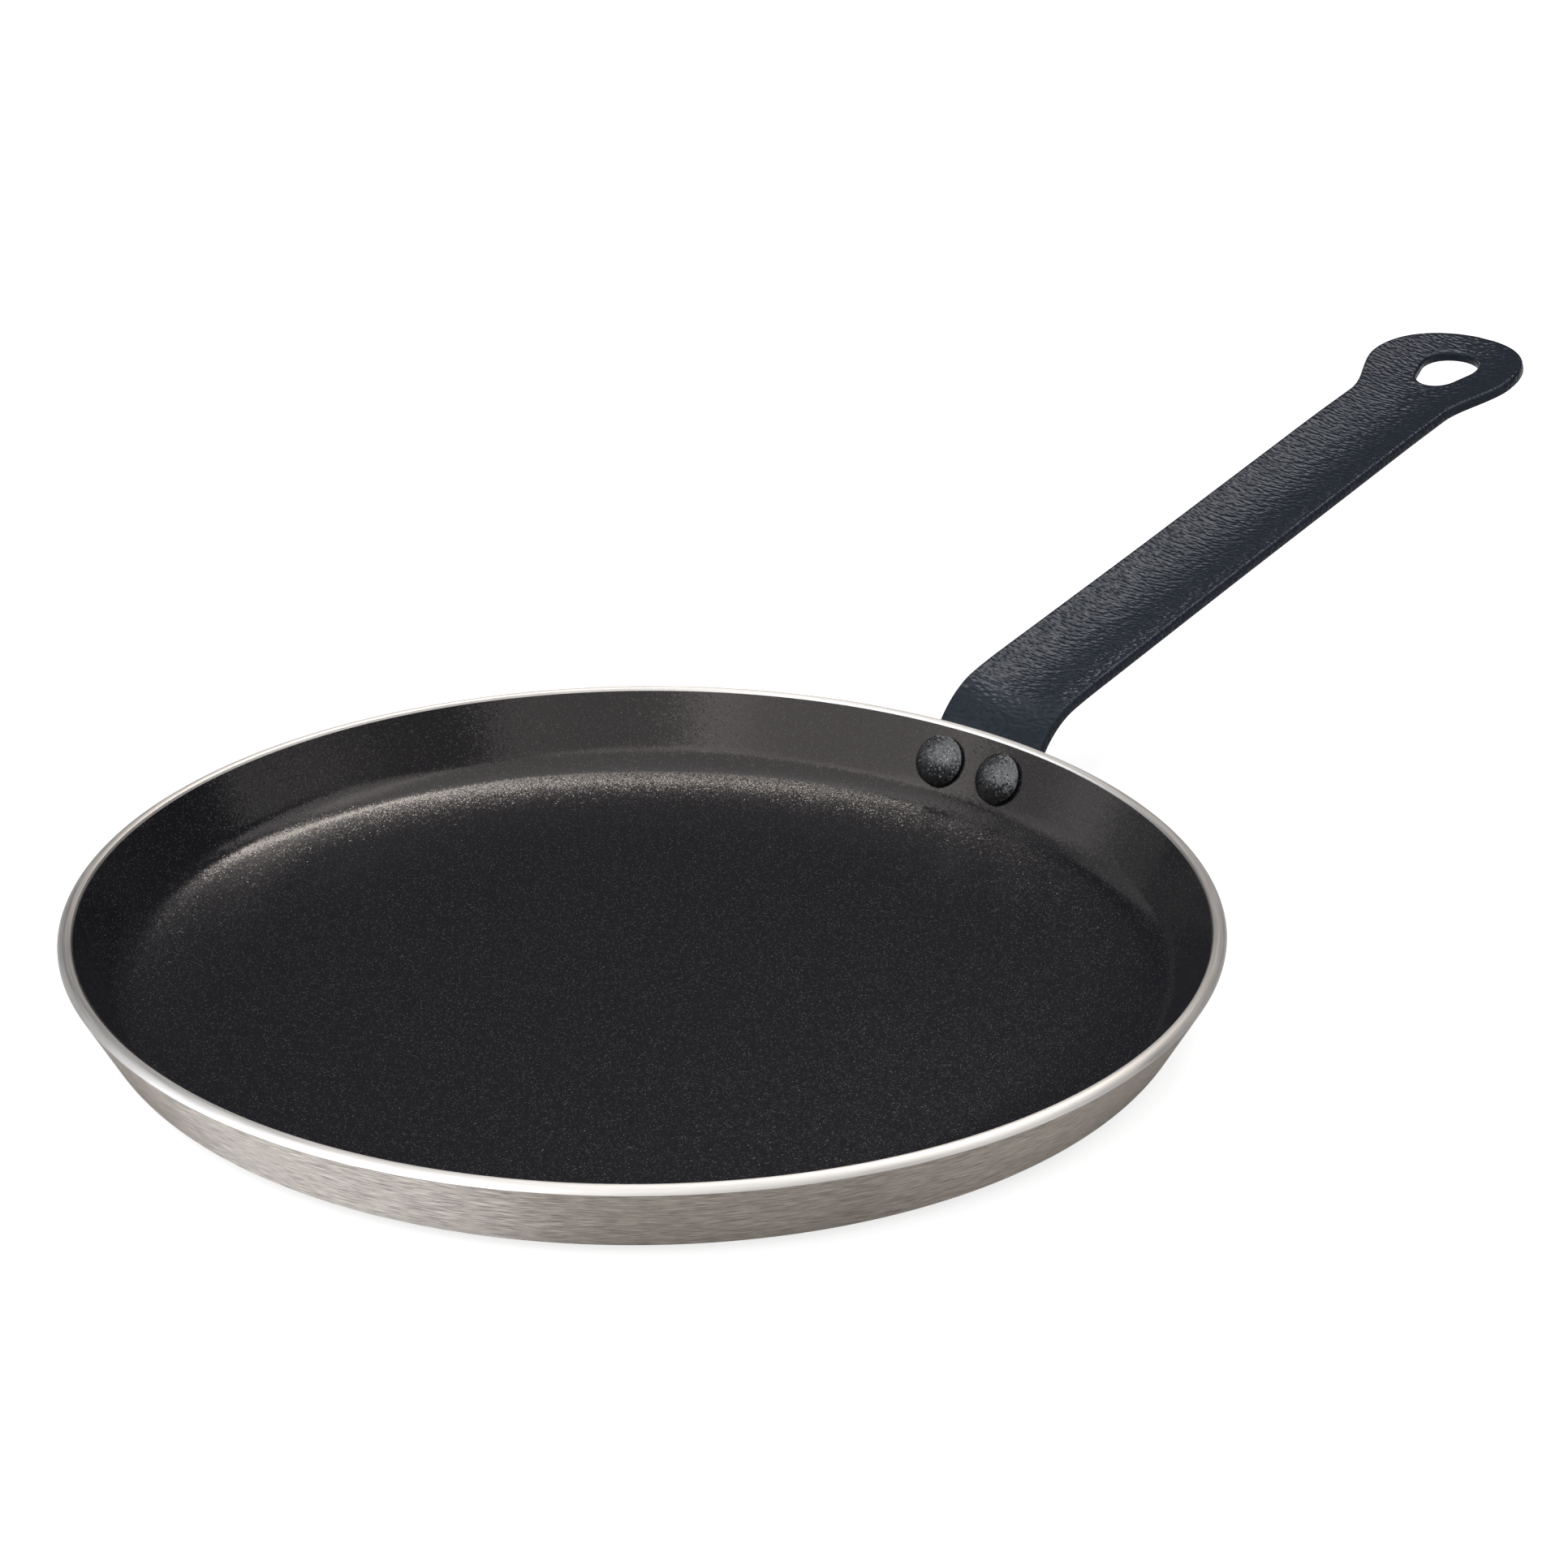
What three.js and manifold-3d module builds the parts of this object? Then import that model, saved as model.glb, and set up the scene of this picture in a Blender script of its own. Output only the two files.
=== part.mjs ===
// Crepe pan: a shallow aluminium pan with a dark non-stick lining, and a dished steel strip for a handle,
// held to the outside of the wall by two rivets. Millimetres, +Z up. The origin is the centre of the base,
// on the surface that the pan stands on, and the handle runs along +X.

import * as THREE from "three";
import { mergeVertices } from "three/addons/utils/BufferGeometryUtils.js";
import Module from "manifold-3d";

const wasm = await Module();
wasm.setup();

const degrees = THREE.MathUtils.degToRad;

// Pan body, pressed from one disc of sheet
const RIM_RADIUS = 130; // to the crisp outer edge of the turned rim
const RIM_EDGE_HEIGHT = 19.05; // of that edge above the base
const RIM_NOSE_RADIUS = 2.3; // of the rounded top that the turning leaves
const WALL_LEAN = degrees(29.9); // outwards, from upright
const SHEET_THICKNESS = 3.5; // of the wall, lining included
const FLOOR_THICKNESS = 2.15; // in the middle, lining included
const BASE_CORNER_RADIUS = 9.8; // between base and wall, outside
const FLOOR_CORNER_RADIUS = 10; // between floor and wall, inside
const FLOOR_EDGE_RADIUS = 90; // of the slow rise of the floor towards that corner
const FLOOR_EDGE_TURN = degrees(12); // slope that the rise reaches

// Non-stick lining, a film on the floor and the inner wall
const LINING_THICKNESS = 0.3;
const LINING_GAP = 0.05; // to the metal under it
const LINING_EDGE_HEIGHT = 20; // where the turned rim cuts it off

// Handle, one strip of steel
const STRIP_THICKNESS = 2.7;
const STRIP_EDGE_RADIUS = 0.8;
const PLATE_WIDTH = 29.6; // of the riveted end
const PLATE_CORNER_RADIUS = 6;
const PLATE_FOOT_HEIGHT = 4.6; // of the riveted end's lower edge above the base
const PLATE_GAP = 0.2; // between plate and wall
const BEND_RADIUS = 21; // of the top face, from the plate to the grip
const GRIP_WIDTH = 28.5; // at its waist
const GRIP_WAIST = 85; // length over which it narrows to that, past the bend
const GRIP_DISH = 1.85; // depth of the lengthwise hollow
const GRIP_RISE = degrees(8.66);
const GRIP_START_HEIGHT = 24.55; // where the lines of plate and grip would cross
const GRIP_DISH_FADE = 9; // length past the bend where the hollow reaches its full depth
const NECK_X = 303.4; // where the grip begins to widen into the eye
const EYE_RISE = degrees(7.8);
const EYE_BEND_RADIUS = 300;
const EYE_DISH = 1.2;
const EYE_WIDTH = 40.4;
const EYE_FLARE = 20.6; // length from the neck to the widest place
const EYE_NOSE = 21.9; // length from the widest place to the tip
const EYE_NOSE_SWEEP = degrees(84); // of its oval edge, which ends in a short straight tip
const EYE_HOLE_RADIUS = 7.25; // of the outer end of the egg-shaped hole
const EYE_HOLE_NECK_RADIUS = 5.65; // of its end towards the pan
const EYE_HOLE_SPREAD = 5.45; // between the centres of the two ends
const EYE_HOLE_OFFSET = 24.5; // from the neck to the centre of the outer end

// Rivets
const RIVET_SPACING = 17.2;
const RIVET_HEIGHT = 12.8; // of their axes on the lining
const RIVET_SHANK_DIAMETER = 6;
const RIVET_HOLE_CLEARANCE = 0.3; // round the shank
const RIVET_HEAD_DIAMETER = 12.2;
const RIVET_HEAD_HEIGHT = 3;
const RIVET_HEAD_EDGE = 0.8; // height of the straight edge below the dome
const RIVET_SEAT_GAP = 0.3; // under the heads, which are flat on a hollow wall
const RIVET_TAIL_DIAMETER = 9.6;
const RIVET_TAIL_HEIGHT = 2;
const RIVET_TAIL_EDGE = 0.7;

// Facets
const TURN_SEGMENTS = 60;
const RIVET_SEGMENTS = 16;
const HOLE_SEGMENTS = 14; // on each half of the eye's hole
const ARC_STEP = degrees(16);
const STRIP_COLUMNS = 8;
const STRIP_STEP = 24; // between rows along the grip
const EDGE_ROWS = 2; // round the strip's edges
const CORNER_ROWS = 4; // round each corner of the plate
const PLATE_ROWS = 1;
const BEND_ROWS = 8;
const FLARE_ROWS = 7;
const NOSE_ROWS = 8;
const CUTTER_REACH = 8; // of the hole cutters, each way from where they are placed
const MERGE_TOLERANCE = 1e-4;

const wallUp = new THREE.Vector2(Math.sin(WALL_LEAN), Math.cos(WALL_LEAN));
const wallOut = new THREE.Vector2(Math.cos(WALL_LEAN), -Math.sin(WALL_LEAN));
const rimEdge = new THREE.Vector2(RIM_RADIUS, RIM_EDGE_HEIGHT);

// Points of an arc in the (radius, height) plane, both ends included
function arc(centre, radius, from, to) {
  const steps = Math.max(2, Math.ceil(Math.abs(to - from) / ARC_STEP));
  return Array.from({ length: steps + 1 }, (_, i) => {
    const angle = from + ((to - from) * i) / steps;
    return new THREE.Vector2(Math.cos(angle), Math.sin(angle)).multiplyScalar(radius).add(centre);
  });
}

// Point at a height on the wall, at a depth measured into the pan from its outer face
function wallPoint(depth, height) {
  const foot = rimEdge.clone().addScaledVector(wallOut, -depth);
  return foot.addScaledVector(wallUp, (height - foot.y) / wallUp.y);
}

// Closed body turned about +Z from a profile of (radius, height) points
function turned(profile, segments) {
  return new THREE.LatheGeometry(profile, segments).rotateX(Math.PI / 2);
}

// Manifold solid of a closed geometry, placed by a matrix
function solidOf(geometry, matrix = new THREE.Matrix4()) {
  const bare = geometry.clone().applyMatrix4(matrix);
  bare.deleteAttribute("normal");
  bare.deleteAttribute("uv");
  const merged = mergeVertices(bare, MERGE_TOLERANCE);
  const corners = merged.index.array;
  const triVerts = [];
  for (let i = 0; i < corners.length; i += 3) {
    const [a, b, c] = corners.slice(i, i + 3);
    if (a !== b && b !== c && c !== a) triVerts.push(a, b, c);
  }
  const vertProperties = new Float32Array(merged.attributes.position.array);
  return new wasm.Manifold(
    new wasm.Mesh({ numProp: 3, vertProperties, triVerts: new Uint32Array(triVerts) }),
  );
}

// The geometry with every cutter taken away
function cut(geometry, cutters) {
  const solid = cutters.reduce((left, cutter) => left.subtract(cutter), solidOf(geometry));
  const mesh = solid.getMesh();
  const result = new THREE.BufferGeometry();
  result.setAttribute("position", new THREE.BufferAttribute(mesh.vertProperties, 3));
  result.setIndex(new THREE.BufferAttribute(mesh.triVerts, 1));
  result.computeVertexNormals();
  return result;
}

// Inside of the pan from the axis to the wall's top, sunk below the finished surface by a depth
const liningEdge = wallPoint(SHEET_THICKNESS, LINING_EDGE_HEIGHT);
const floorCornerCentre = (() => {
  const spread = FLOOR_EDGE_RADIUS - FLOOR_CORNER_RADIUS;
  const height = FLOOR_THICKNESS + FLOOR_EDGE_RADIUS - spread * Math.cos(FLOOR_EDGE_TURN);
  return wallPoint(SHEET_THICKNESS, height).sub(new THREE.Vector2(FLOOR_CORNER_RADIUS / wallUp.y, 0));
})();
const floorEdgeCentre = new THREE.Vector2(
  floorCornerCentre.x - (FLOOR_EDGE_RADIUS - FLOOR_CORNER_RADIUS) * Math.sin(FLOOR_EDGE_TURN),
  FLOOR_THICKNESS + FLOOR_EDGE_RADIUS,
);

function insideProfile(depth, top) {
  const down = -Math.PI / 2;
  return [
    new THREE.Vector2(0, FLOOR_THICKNESS - depth),
    ...arc(floorEdgeCentre, FLOOR_EDGE_RADIUS + depth, down, down + FLOOR_EDGE_TURN),
    ...arc(floorCornerCentre, FLOOR_CORNER_RADIUS + depth, down + FLOOR_EDGE_TURN, -WALL_LEAN).slice(1),
    top,
  ];
}

// Rounded nose of the rim, between the crisp outer edge and the lining's edge
const noseChord = liningEdge.clone().sub(rimEdge);
const noseCentre = (() => {
  const half = noseChord.length() / 2;
  const across = new THREE.Vector2(-noseChord.y, noseChord.x).normalize();
  const drop = Math.sqrt(RIM_NOSE_RADIUS ** 2 - half ** 2);
  return rimEdge.clone().addScaledVector(noseChord, 0.5).addScaledVector(across, drop);
})();

// Where the wall's inner face, at a depth from the outer one, meets that nose
function noseMeets(depth) {
  const offset = wallPoint(depth, 0).sub(noseCentre);
  const along = offset.dot(wallUp);
  const reach = Math.sqrt(along ** 2 - offset.lengthSq() + RIM_NOSE_RADIUS ** 2);
  return wallPoint(depth, 0).addScaledVector(wallUp, reach - along);
}

const noseAngle = (point) => point.clone().sub(noseCentre).angle();

// Frame of a rivet: origin on the lining, +Z along its axis into the pan
function rivetFrame(side) {
  const seat = wallPoint(SHEET_THICKNESS, RIVET_HEIGHT);
  const azimuth = side * Math.asin(RIVET_SPACING / 2 / seat.x);
  return new THREE.Matrix4()
    .makeRotationZ(azimuth)
    .multiply(new THREE.Matrix4().makeTranslation(seat.x, 0, seat.y))
    .multiply(new THREE.Matrix4().makeRotationY(WALL_LEAN - Math.PI / 2));
}

function rivetHole(side) {
  const radius = RIVET_SHANK_DIAMETER / 2 + RIVET_HOLE_CLEARANCE;
  const drill = new THREE.CylinderGeometry(radius, radius, 2 * CUTTER_REACH, RIVET_SEGMENTS);
  return solidOf(drill.rotateX(Math.PI / 2), rivetFrame(side));
}

const rivetHoles = [1, -1].map(rivetHole);

function panBody() {
  const sunk = LINING_THICKNESS + LINING_GAP;
  const wallFoot = wallPoint(0, BASE_CORNER_RADIUS).sub(
    new THREE.Vector2(BASE_CORNER_RADIUS / wallUp.y, 0),
  );
  const lip = noseMeets(SHEET_THICKNESS - sunk);
  const profile = [
    new THREE.Vector2(0, 0),
    ...arc(wallFoot, BASE_CORNER_RADIUS, -Math.PI / 2, -WALL_LEAN),
    ...arc(noseCentre, RIM_NOSE_RADIUS, noseAngle(rimEdge), noseAngle(lip)),
    ...insideProfile(sunk, lip).slice(0, -1).reverse(),
  ];
  return cut(turned(profile, TURN_SEGMENTS), rivetHoles);
}

function nonstickLining() {
  const under = wallPoint(SHEET_THICKNESS - LINING_THICKNESS, 0);
  const rise = liningEdge.clone().sub(under).dot(wallUp);
  const underside = insideProfile(LINING_THICKNESS, under.addScaledVector(wallUp, rise));
  const surface = insideProfile(0, liningEdge);
  return cut(turned([...underside, ...surface.reverse()], TURN_SEGMENTS), rivetHoles);
}

// Handle's centre line: the middle of the strip's top face, as straight runs and arcs in the plane y = 0
const crossing = wallPoint(-PLATE_GAP, GRIP_START_HEIGHT);
const bendTurn = Math.PI / 2 - WALL_LEAN - GRIP_RISE;
const bendReach = BEND_RADIUS * Math.tan(bendTurn / 2);
const plateFoot = wallPoint(-PLATE_GAP, PLATE_FOOT_HEIGHT);
const plateLength = plateFoot.distanceTo(crossing) - bendReach;
const bendLength = BEND_RADIUS * bendTurn;
const gripLength = (NECK_X - crossing.x) / Math.cos(GRIP_RISE) - bendReach;
const gripStart = plateLength + bendLength;
const neck = gripStart + gripLength;
const eyeBendLength = EYE_BEND_RADIUS * (GRIP_RISE - EYE_RISE);
const eyeWidest = neck + EYE_FLARE;
const eyeTip = eyeWidest + EYE_NOSE;

// Runs of the centre line: a length and how far its direction turns, downwards
const runs = [
  { length: plateLength, turn: 0 },
  { length: bendLength, turn: bendTurn },
  { length: gripLength, turn: 0 },
  { length: eyeBendLength, turn: GRIP_RISE - EYE_RISE },
  { length: eyeTip, turn: 0 },
];

// Place and direction at a distance along the centre line
function centreLine(distance) {
  const place = plateFoot.clone();
  let slope = Math.PI / 2 - WALL_LEAN;
  let left = distance;
  for (const { length, turn } of runs) {
    const step = Math.min(left, length);
    const bent = (turn * step) / length;
    const chord = bent ? (2 * length * Math.sin(bent / 2)) / turn : step;
    place.x += chord * Math.cos(slope - bent / 2);
    place.y += chord * Math.sin(slope - bent / 2);
    slope -= bent;
    left -= step;
    if (left <= 0) break;
  }
  return { place, slope };
}

// Depth of the hollow in the top face, over the grip's width: the wall's own roundness on the plate, and
// deepest along the grip
const plateDish = ((GRIP_WIDTH / 2) ** 2 / (2 * wallPoint(0, RIVET_HEIGHT).x)) * wallUp.y;

function dishDepth(distance) {
  const { smoothstep, lerp } = THREE.MathUtils;
  const deepened = smoothstep(distance, plateLength, gripStart + GRIP_DISH_FADE);
  const flattened = smoothstep(distance, neck - EYE_FLARE, eyeWidest);
  return lerp(lerp(plateDish, GRIP_DISH, deepened), EYE_DISH, flattened);
}

// Point of the strip: distance along it, offset across it, and depth below its hollow top face
function stripPoint(distance, across, depth) {
  const { place, slope } = centreLine(distance);
  const half = GRIP_WIDTH / 2;
  const tilt = Math.atan((2 * dishDepth(distance) * across) / half ** 2);
  const lift = dishDepth(distance) * (across / half) ** 2 - depth * Math.cos(tilt);
  return new THREE.Vector3(
    place.x - lift * Math.sin(slope),
    across + depth * Math.sin(tilt),
    place.y + lift * Math.cos(slope),
  );
}

// Outline of the flat strip, as rows from the plate's foot to the eye's tip: a distance along it, half its
// width there, and the direction in which its edge faces
function halfWidth(distance) {
  const { smoothstep, lerp } = THREE.MathUtils;
  const narrowed = smoothstep(distance, plateLength, gripStart + GRIP_WAIST);
  const flared = smoothstep(distance, neck, eyeWidest);
  return lerp(lerp(PLATE_WIDTH, GRIP_WIDTH, narrowed), EYE_WIDTH, flared) / 2;
}

function outlineRows() {
  const rows = [];
  for (let i = 0; i <= CORNER_ROWS; i++) {
    const angle = (Math.PI / 2) * (i / CORNER_ROWS);
    const along = PLATE_CORNER_RADIUS * (1 - Math.cos(angle));
    const half = PLATE_WIDTH / 2 - PLATE_CORNER_RADIUS * (1 - Math.sin(angle));
    rows.push({ along, half, facing: new THREE.Vector2(-Math.cos(angle), Math.sin(angle)) });
  }
  const stops = [
    [PLATE_CORNER_RADIUS, plateLength, PLATE_ROWS],
    [plateLength, gripStart, BEND_ROWS],
    [gripStart, neck, Math.ceil(gripLength / STRIP_STEP)],
    [neck, eyeWidest, FLARE_ROWS],
  ];
  const slopeStep = 0.01;
  for (const [from, to, steps] of stops) {
    for (let i = 1; i <= steps; i++) {
      const along = from + ((to - from) * i) / steps;
      const widening = (halfWidth(along + slopeStep) - halfWidth(along - slopeStep)) / (2 * slopeStep);
      rows.push({ along, half: halfWidth(along), facing: new THREE.Vector2(-widening, 1).normalize() });
    }
  }
  for (let i = 1; i <= NOSE_ROWS; i++) {
    const angle = (EYE_NOSE_SWEEP * i) / NOSE_ROWS;
    const facing = new THREE.Vector2(Math.sin(angle) / EYE_NOSE, Math.cos(angle) / (EYE_WIDTH / 2));
    rows.push({
      along: eyeWidest + EYE_NOSE * Math.sin(angle),
      half: (EYE_WIDTH / 2) * Math.cos(angle),
      facing: facing.normalize(),
    });
  }
  rows.at(-1).facing.set(1, 0);
  return rows;
}

// Triangles between neighbouring rows of points
function loft(rows, closed, flipped) {
  const triangles = [];
  for (let i = 0; i + 1 < rows.length; i++) {
    const count = rows[i].length;
    for (let j = 0; j < (closed ? count : count - 1); j++) {
      const next = (j + 1) % count;
      const [a, b, c, d] = [rows[i][j], rows[i][next], rows[i + 1][next], rows[i + 1][j]];
      triangles.push(...(flipped ? [a, c, b, a, d, c] : [a, b, c, a, c, d]));
    }
  }
  return triangles;
}

function handle() {
  const rows = outlineRows();
  const columns = Array.from({ length: STRIP_COLUMNS + 1 }, (_, j) => 1 - (2 * j) / STRIP_COLUMNS);
  const at = (row, share, inset, depth) => {
    const across = share * (row.half - inset * row.facing.y);
    return stripPoint(row.along - inset * row.facing.x, across, depth);
  };
  const face = (depth) =>
    rows.map((row) => columns.map((share) => at(row, share, STRIP_EDGE_RADIUS, depth)));
  const edge = [
    ...rows.map((row) => [row, 1]),
    ...columns.slice(1, -1).map((share) => [rows.at(-1), share]),
    ...rows.toReversed().map((row) => [row, -1]),
    ...columns.slice(1, -1).toReversed().map((share) => [rows[0], share]),
  ];
  const rounding = Array.from({ length: EDGE_ROWS + 1 }, (_, i) => {
    const angle = (Math.PI / 2) * (i / EDGE_ROWS);
    return {
      inset: STRIP_EDGE_RADIUS * (1 - Math.sin(angle)),
      depth: STRIP_EDGE_RADIUS * (1 - Math.cos(angle)),
    };
  });
  const rings = [
    ...rounding,
    ...rounding.toReversed().map(({ inset, depth }) => ({ inset, depth: STRIP_THICKNESS - depth })),
  ].map(({ inset, depth }) => edge.map(([row, share]) => at(row, share, inset, depth)));
  const triangles = [
    ...loft(face(0), false, false),
    ...loft(face(STRIP_THICKNESS), false, true),
    ...loft(rings, true, false),
  ];
  return cut(new THREE.BufferGeometry().setFromPoints(triangles), [...rivetHoles, eyeHole()]);
}

// Egg-shaped hole through the eye, square to its face
function eyeHole() {
  const around = Math.PI - Math.acos((EYE_HOLE_RADIUS - EYE_HOLE_NECK_RADIUS) / EYE_HOLE_SPREAD);
  const outline = new THREE.Shape();
  outline.absarc(0, 0, EYE_HOLE_RADIUS, -around, around, false);
  outline.absarc(-EYE_HOLE_SPREAD, 0, EYE_HOLE_NECK_RADIUS, around, 2 * Math.PI - around, false);
  const prism = new THREE.ExtrudeGeometry(outline, {
    depth: 2 * CUTTER_REACH,
    bevelEnabled: false,
    curveSegments: HOLE_SEGMENTS,
  });
  const { place, slope } = centreLine(neck + EYE_HOLE_OFFSET);
  const matrix = new THREE.Matrix4().makeRotationY(-slope).setPosition(place.x, 0, place.y);
  return solidOf(prism.translate(0, 0, -CUTTER_REACH), matrix);
}

// Domed head of a rivet: profile points from its flat face to the axis
function domed(radius, height, edge, seat, direction) {
  const cap = height - edge;
  const sphere = (radius ** 2 + cap ** 2) / (2 * cap);
  const spread = Math.asin(radius / sphere);
  const centre = new THREE.Vector2(0, seat + direction * (height - sphere));
  const dome = arc(centre, sphere, direction * (Math.PI / 2 - spread), direction * (Math.PI / 2));
  dome.at(-1).x = 0;
  return [new THREE.Vector2(radius, seat), ...dome];
}

function rivet() {
  const shank = RIVET_SHANK_DIAMETER / 2;
  const tailSeat = -(SHEET_THICKNESS + PLATE_GAP + STRIP_THICKNESS + RIVET_SEAT_GAP);
  const tail = domed(RIVET_TAIL_DIAMETER / 2, RIVET_TAIL_HEIGHT, RIVET_TAIL_EDGE, tailSeat, -1);
  const head = domed(RIVET_HEAD_DIAMETER / 2, RIVET_HEAD_HEIGHT, RIVET_HEAD_EDGE, RIVET_SEAT_GAP, 1);
  const profile = [
    ...tail.toReversed(),
    new THREE.Vector2(shank, tailSeat),
    new THREE.Vector2(shank, RIVET_SEAT_GAP),
    ...head,
  ];
  return turned(profile, RIVET_SEGMENTS);
}

function piece(name, geometry, material) {
  const mesh = new THREE.Mesh(geometry, new THREE.MeshStandardMaterial(material));
  mesh.name = name;
  return mesh;
}

const crepePan = new THREE.Group();
crepePan.add(
  piece("pan_body", panBody(), { color: 0xb8b4ae, roughness: 0.35, metalness: 1 }),
  piece("nonstick_lining", nonstickLining(), { color: 0x201f20, roughness: 0.35, metalness: 0.1 }),
  piece("handle", handle(), { color: 0x1b1d22, roughness: 0.5, metalness: 0 }),
);
for (const [name, side] of [["rivet_left", 1], ["rivet_right", -1]]) {
  const mesh = piece(name, rivet(), { color: 0x23262a, roughness: 0.45, metalness: 0.2 });
  mesh.applyMatrix4(rivetFrame(side));
  crepePan.add(mesh);
}

export default crepePan;
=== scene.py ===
import math

import bmesh
import bpy
from mathutils import Matrix, Vector


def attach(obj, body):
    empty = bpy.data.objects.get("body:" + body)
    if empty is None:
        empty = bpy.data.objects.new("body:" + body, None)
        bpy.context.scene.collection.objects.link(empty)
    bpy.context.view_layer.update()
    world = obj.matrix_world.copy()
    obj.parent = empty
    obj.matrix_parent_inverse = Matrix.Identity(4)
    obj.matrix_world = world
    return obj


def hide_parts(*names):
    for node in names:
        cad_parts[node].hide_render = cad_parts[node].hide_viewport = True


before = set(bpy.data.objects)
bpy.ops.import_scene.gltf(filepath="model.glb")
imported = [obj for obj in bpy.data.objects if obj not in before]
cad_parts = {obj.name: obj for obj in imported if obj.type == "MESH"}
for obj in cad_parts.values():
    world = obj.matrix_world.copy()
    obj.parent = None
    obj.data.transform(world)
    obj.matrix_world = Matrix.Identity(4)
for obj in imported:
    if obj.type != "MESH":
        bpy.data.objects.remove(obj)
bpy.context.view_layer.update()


# The pan is one disc of aluminium sheet, pressed to a shallow dish with a leaning wall. Once the
# lining is on, it is spun on a lathe: the side is brushed round and round, and the rim is turned
# to a bright bead.
rim_edge = Vector((0.130, 0.01905))
rim_nose = 0.0023
wall_lean = math.radians(29.9)
sheet_thickness = 0.0035
base_corner = 0.0098
floor_thickness = 0.00215
floor_corner = 0.010
floor_rise_radius = 0.090
floor_rise = math.radians(12)
lining_bed = 0.00035
lining_top = 0.020
rivet_height = 0.0128
rivet_spacing = 0.0172
rivet_hole_radius = 0.0033
drill_length = 0.016
lathe_steps = 240
pan_crease = math.radians(32)
tolerance = 1e-6
base_facing = -0.97
side_colour = (0.484, 0.432, 0.386, 1)
rim_colour = (0.735, 0.708, 0.677, 1)

wall_up = Vector((math.sin(wall_lean), math.cos(wall_lean)))
wall_out = Vector((math.cos(wall_lean), -math.sin(wall_lean)))


def wall_point(depth, height):
    foot = rim_edge - depth * wall_out
    return foot + wall_up * ((height - foot.y) / wall_up.y)


def arc(centre, radius, start, end, steps):
    angles = [start + (end - start) * i / steps for i in range(steps + 1)]
    return [centre + radius * Vector((math.cos(a), math.sin(a))) for a in angles]


def line(start, end, steps):
    return [start.lerp(end, i / steps) for i in range(1, steps)]


def inside_profile(depth, top):
    down = -math.pi / 2
    spread = floor_rise_radius - floor_corner
    height = floor_thickness + floor_rise_radius - spread * math.cos(floor_rise)
    corner = wall_point(sheet_thickness, height) - Vector((floor_corner / wall_up.y, 0))
    rise_x = corner.x - spread * math.sin(floor_rise)
    rise = Vector((rise_x, floor_thickness + floor_rise_radius))
    slope = arc(rise, floor_rise_radius + depth, down, down + floor_rise, steps=12)
    bend = arc(corner, floor_corner + depth, down + floor_rise, -wall_lean, steps=12)
    middle = Vector((0, floor_thickness - depth))
    return [
        middle, *line(middle, slope[0], steps=6), *slope, *bend[1:],
        *line(bend[-1], top, steps=8), top,
    ]


def select_only(piece):
    bpy.ops.object.select_all(action="DESELECT")
    piece.select_set(True)
    bpy.context.view_layer.objects.active = piece


def drawn(name, points):
    bpy.ops.object.select_all(action="DESELECT")
    bpy.ops.mesh.primitive_plane_add(size=0.001)
    piece = bpy.context.object
    piece.name = piece.data.name = name
    bpy.ops.object.mode_set(mode="EDIT")
    bpy.ops.mesh.select_all(action="SELECT")
    bpy.ops.mesh.merge(type="CENTER")
    bpy.ops.transform.translate(value=points[0])
    for start, end in zip(points, points[1:]):
        bpy.ops.mesh.extrude_region_move(TRANSFORM_OT_translate={"value": end - start})
    bpy.ops.mesh.select_all(action="SELECT")
    return piece


def spun(name, profile, steps):
    piece = drawn(name, [Vector((point.x, 0, point.y)) for point in profile])
    bpy.ops.mesh.spin(steps=steps, angle=2 * math.pi, center=(0, 0, 0), axis=(0, 0, 1))
    bpy.ops.mesh.select_all(action="SELECT")
    bpy.ops.mesh.remove_doubles(threshold=tolerance)
    bpy.ops.mesh.normals_make_consistent(inside=False)
    bpy.ops.object.mode_set(mode="OBJECT")
    return piece


nose_chord = wall_point(sheet_thickness, lining_top) - rim_edge
nose_drop = math.sqrt(rim_nose**2 - nose_chord.length_squared / 4)
nose_across = Vector((-nose_chord.y, nose_chord.x)).normalized()
nose_centre = rim_edge + nose_chord / 2 + nose_drop * nose_across
bed_foot = wall_point(sheet_thickness - lining_bed, 0)
bed_along = (bed_foot - nose_centre).dot(wall_up)
bed_reach = math.sqrt(bed_along**2 - (bed_foot - nose_centre).length_squared + rim_nose**2)
rim_lip = bed_foot + wall_up * (bed_reach - bed_along)
nose_start = math.atan2(*(rim_edge - nose_centre).yx)
nose_end = math.atan2(*(rim_lip - nose_centre).yx)

base_middle = Vector((0, 0))
base_bend = wall_point(0, base_corner) - Vector((base_corner / wall_up.y, 0))
outer_corner = arc(base_bend, base_corner, -math.pi / 2, -wall_lean, steps=12)
nose = arc(nose_centre, rim_nose, nose_start, nose_end, steps=14)
bed = inside_profile(lining_bed, rim_lip)[::-1]
pan_profile = [
    base_middle, *line(base_middle, outer_corner[0], steps=6), *outer_corner,
    *line(outer_corner[-1], nose[0], steps=8), *nose, *bed[1:],
]
pan = spun("pan", pan_profile, lathe_steps)

rivet_seat = wall_point(sheet_thickness, rivet_height)
rivet_frames = []
for side in (1, -1):
    azimuth = side * math.asin(rivet_spacing / 2 / rivet_seat.x)
    rivet_frames.append(
        Matrix.Rotation(azimuth, 4, "Z")
        @ Matrix.Translation((rivet_seat.x, 0, rivet_seat.y))
        @ Matrix.Rotation(wall_lean - math.pi / 2, 4, "Y")
    )


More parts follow.
